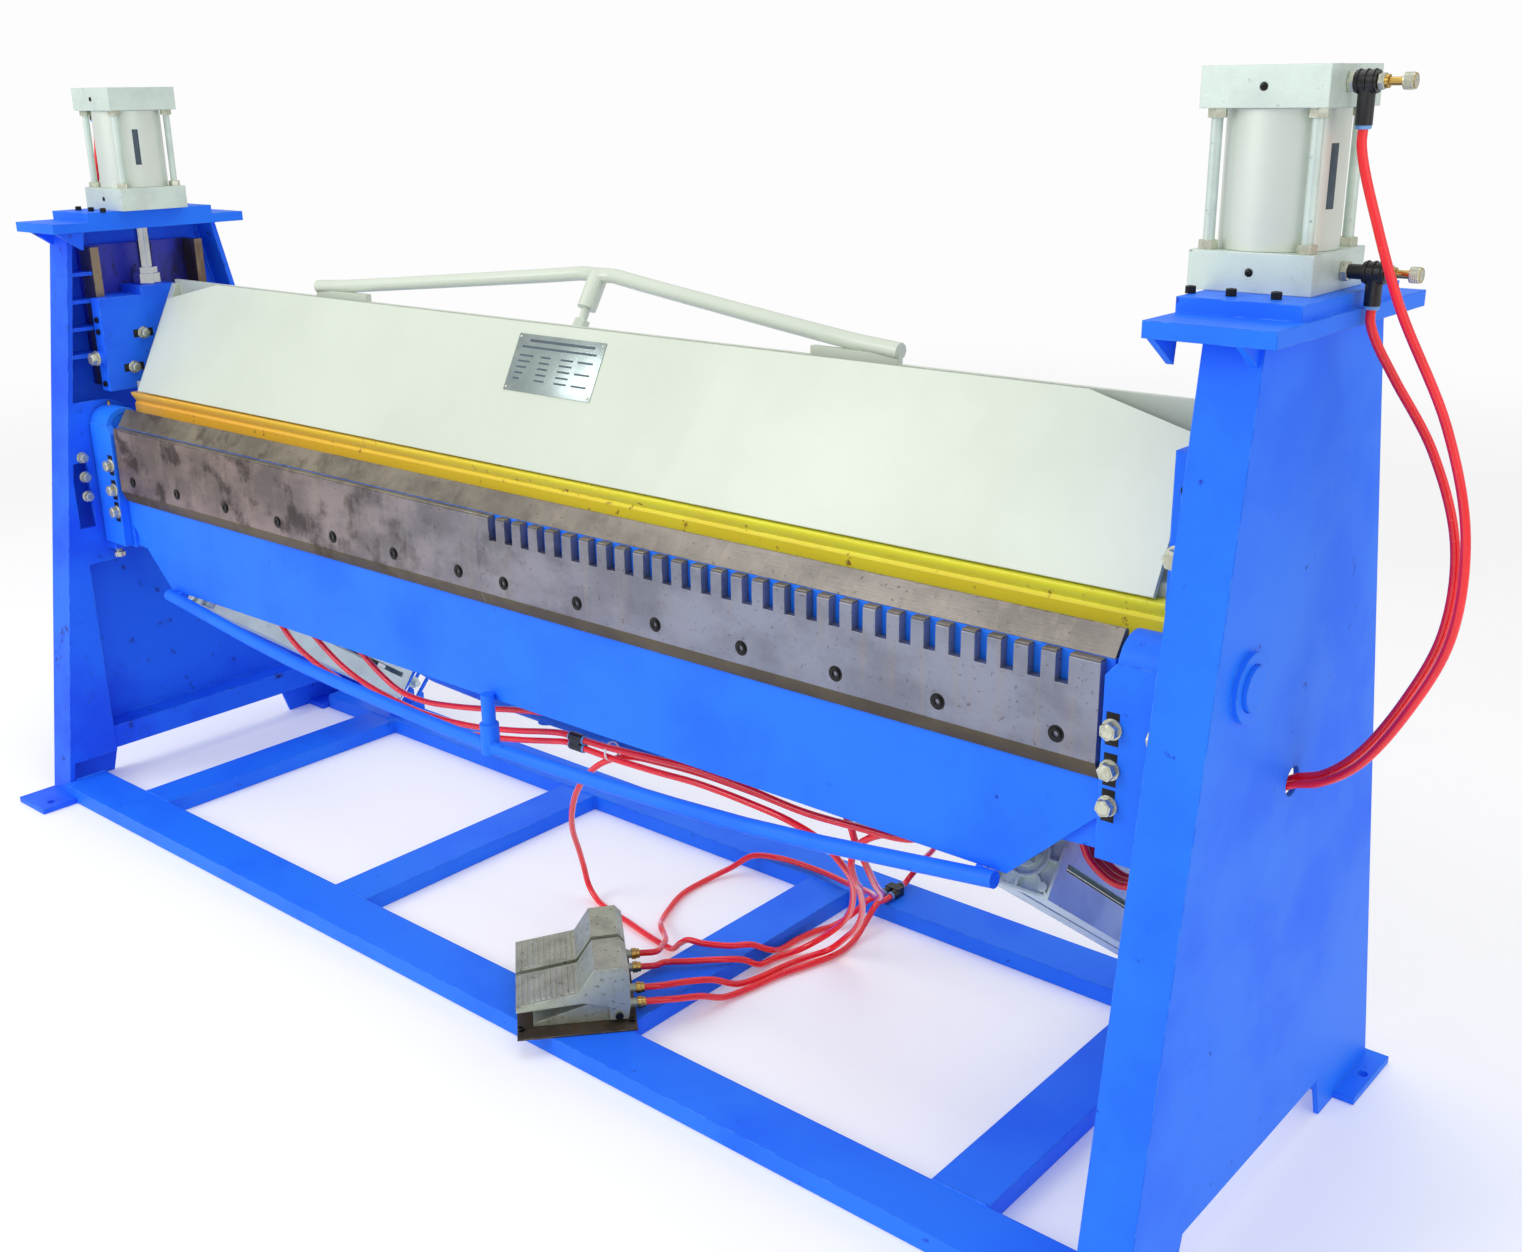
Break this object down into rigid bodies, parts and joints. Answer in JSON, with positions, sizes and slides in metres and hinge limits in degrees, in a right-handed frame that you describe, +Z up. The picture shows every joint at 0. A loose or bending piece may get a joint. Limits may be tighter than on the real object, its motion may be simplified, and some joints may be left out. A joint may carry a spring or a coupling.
{
  "type": "pneumatic sheet-metal folding machine",
  "caption": "Pneumatic folding brake: columns with clamp cylinders, lifting clamping beam, swinging notched leaf, base ladder, foot valves and red air hoses",
  "frame": {"origin": "middle of the footprint at floor level, hoses left out", "axes": "+X along the bed to the operator's right, +Y from the operator's side to the back, +Z up"},
  "size_m": [3.222, 0.9734, 1.5882],
  "materials": {
    "blue_paint": "gloss blue enamel, worn thin at edges",
    "cream_paint": "satin cream enamel",
    "yellow_paint": "gloss yellow enamel",
    "tool_steel": "bare ground steel, stained",
    "guide_steel": "bare machined steel",
    "bright_steel": "hard chromed",
    "cast_aluminium": "die-cast, matt",
    "barrel_aluminium": "anodised drawn tube",
    "pedal_aluminium": "die-cast, rubbed",
    "black_plastic": "glass-filled nylon",
    "brass": "turned brass",
    "red_hose": "polyurethane tube"
  },
  "bodies": {
    "frame": {"base_frame": "blue_paint", "bed_beam": "blue_paint", "column_right": "blue_paint", "guide_channel_right": "guide_steel", "cylinder_seat_right": "blue_paint", "pivot_pin_right": "blue_paint", "clamp_rod_cap_right": "cast_aluminium", "clamp_barrel_right": "barrel_aluminium", "clamp_head_cap_right": "cast_aluminium", "regulator_top_right": "black_plastic", "regulator_bottom_right": "black_plastic", "bending_bracket_right": "blue_paint", "column_left": "blue_paint", "guide_channel_left": "guide_steel", "cylinder_seat_left": "blue_paint", "pivot_pin_left": "blue_paint", "clamp_rod_cap_left": "cast_aluminium", "clamp_barrel_left": "barrel_aluminium", "clamp_head_cap_left": "cast_aluminium", "regulator_top_left": "black_plastic", "regulator_bottom_left": "black_plastic", "bending_bracket_left": "blue_paint", "pedal_plate": "tool_steel", "pedal_body_near": "pedal_aluminium", "pedal_body_far": "pedal_aluminium", "hose_union": "black_plastic", "hose_wye": "black_plastic", "hose_clamp_top_right": "red_hose", "hose_clamp_bottom_right": "red_hose", "hose_bed_right": "red_hose", "hose_union_far": "red_hose", "hose_far_left": "red_hose", "hose_clamp_top_left": "red_hose", "hose_clamp_bottom_left": "red_hose", "hose_near_wye": "red_hose", "hose_supply": "red_hose"},
    "clamp": {"clamp_apron": "cream_paint", "clamp_beam": "cream_paint", "clamp_blade": "yellow_paint", "clamp_piston_rod_right": "bright_steel", "slide_block_right": "blue_paint", "clamp_piston_rod_left": "bright_steel", "slide_block_left": "blue_paint"},
    "leaf": {"leaf_apron": "blue_paint", "leaf_nose_bar": "tool_steel", "leaf_tool_plain": "tool_steel", "leaf_tool_notched": "tool_steel", "leaf_truss": "blue_paint", "hinge_arm_right": "blue_paint", "hinge_arm_left": "blue_paint"},
    "bend_rod_right": {"bending_rod_right": "bright_steel"},
    "bend_body_right": {"bending_body_right": "cast_aluminium"},
    "bend_rod_left": {"bending_rod_left": "bright_steel"},
    "bend_body_left": {"bending_body_left": "cast_aluminium"},
    "treadle_near": {"pedal_treadle_near": "pedal_aluminium"},
    "treadle_far": {"pedal_treadle_far": "pedal_aluminium"},
    "screw_top_right": {"flow_screw_top_right": "brass"},
    "screw_bottom_right": {"flow_screw_bottom_right": "brass"},
    "screw_top_left": {"flow_screw_top_left": "brass"},
    "screw_bottom_left": {"flow_screw_bottom_left": "brass"}
  },
  "joints": [
    {"name": "clamp_lift", "type": "slide", "parent": "frame", "child": "clamp", "axis": [0, 0, 1], "range_m": [0, 0.08]},
    {"name": "leaf_fold", "type": "hinge", "parent": "frame", "child": "leaf", "pos_m": [0, -0.175, 0.859], "axis": [-1, 0, 0], "range_deg": [0, 90]},
    {"name": "leaf_pin_right", "type": "hinge", "parent": "leaf", "child": "bend_rod_right", "pos_m": [1.083, -0.175, 0.549], "axis": [1, 0, 0], "range_deg": [0, 91]},
    {"name": "bend_stroke_right", "type": "slide", "parent": "bend_rod_right", "child": "bend_body_right", "axis": [0, 0.8037, -0.595], "range_m": [0, 0.44]},
    {"name": "leaf_pin_left", "type": "hinge", "parent": "leaf", "child": "bend_rod_left", "pos_m": [-1.083, -0.175, 0.549], "axis": [1, 0, 0], "range_deg": [0, 91]},
    {"name": "bend_stroke_left", "type": "slide", "parent": "bend_rod_left", "child": "bend_body_left", "axis": [0, 0.8037, -0.595], "range_m": [0, 0.44]},
    {"name": "treadle_near_press", "type": "hinge", "parent": "frame", "child": "treadle_near", "pos_m": [0.36132, -0.2661, 0.0516], "axis": [0.7507, -0.6607, 0], "range_deg": [0, 7], "stiffness_Nm_per_rad": 20, "springref_deg": -6.88},
    {"name": "treadle_far_press", "type": "hinge", "parent": "frame", "child": "treadle_far", "pos_m": [0.27199, -0.18749, 0.0516], "axis": [0.7507, -0.6607, 0], "range_deg": [0, 7], "stiffness_Nm_per_rad": 20, "springref_deg": -6.88},
    {"name": "screw_top_right_turn", "type": "hinge", "parent": "frame", "child": "screw_top_right", "pos_m": [1.475, -0.05, 1.568], "axis": [1, 0, 0], "range_deg": [0, 1440]},
    {"name": "screw_bottom_right_turn", "type": "hinge", "parent": "frame", "child": "screw_bottom_right", "pos_m": [1.495, -0.015, 1.351], "axis": [1, 0, 0], "range_deg": [0, 1440]},
    {"name": "screw_top_left_turn", "type": "hinge", "parent": "frame", "child": "screw_top_left", "pos_m": [-1.475, -0.05, 1.568], "axis": [-1, 0, 0], "range_deg": [0, 1440]},
    {"name": "screw_bottom_left_turn", "type": "hinge", "parent": "frame", "child": "screw_bottom_left", "pos_m": [-1.495, -0.015, 1.351], "axis": [-1, 0, 0], "range_deg": [0, 1440]}
  ],
  "couplings": [
    {"joint": "leaf_pin_right", "follows": "leaf_fold", "ratio": 1},
    {"joint": "bend_stroke_right", "follows": "leaf_fold", "m_per_rad": 0.279},
    {"joint": "leaf_pin_left", "follows": "leaf_fold", "ratio": 1},
    {"joint": "bend_stroke_left", "follows": "leaf_fold", "m_per_rad": 0.279}
  ]
}
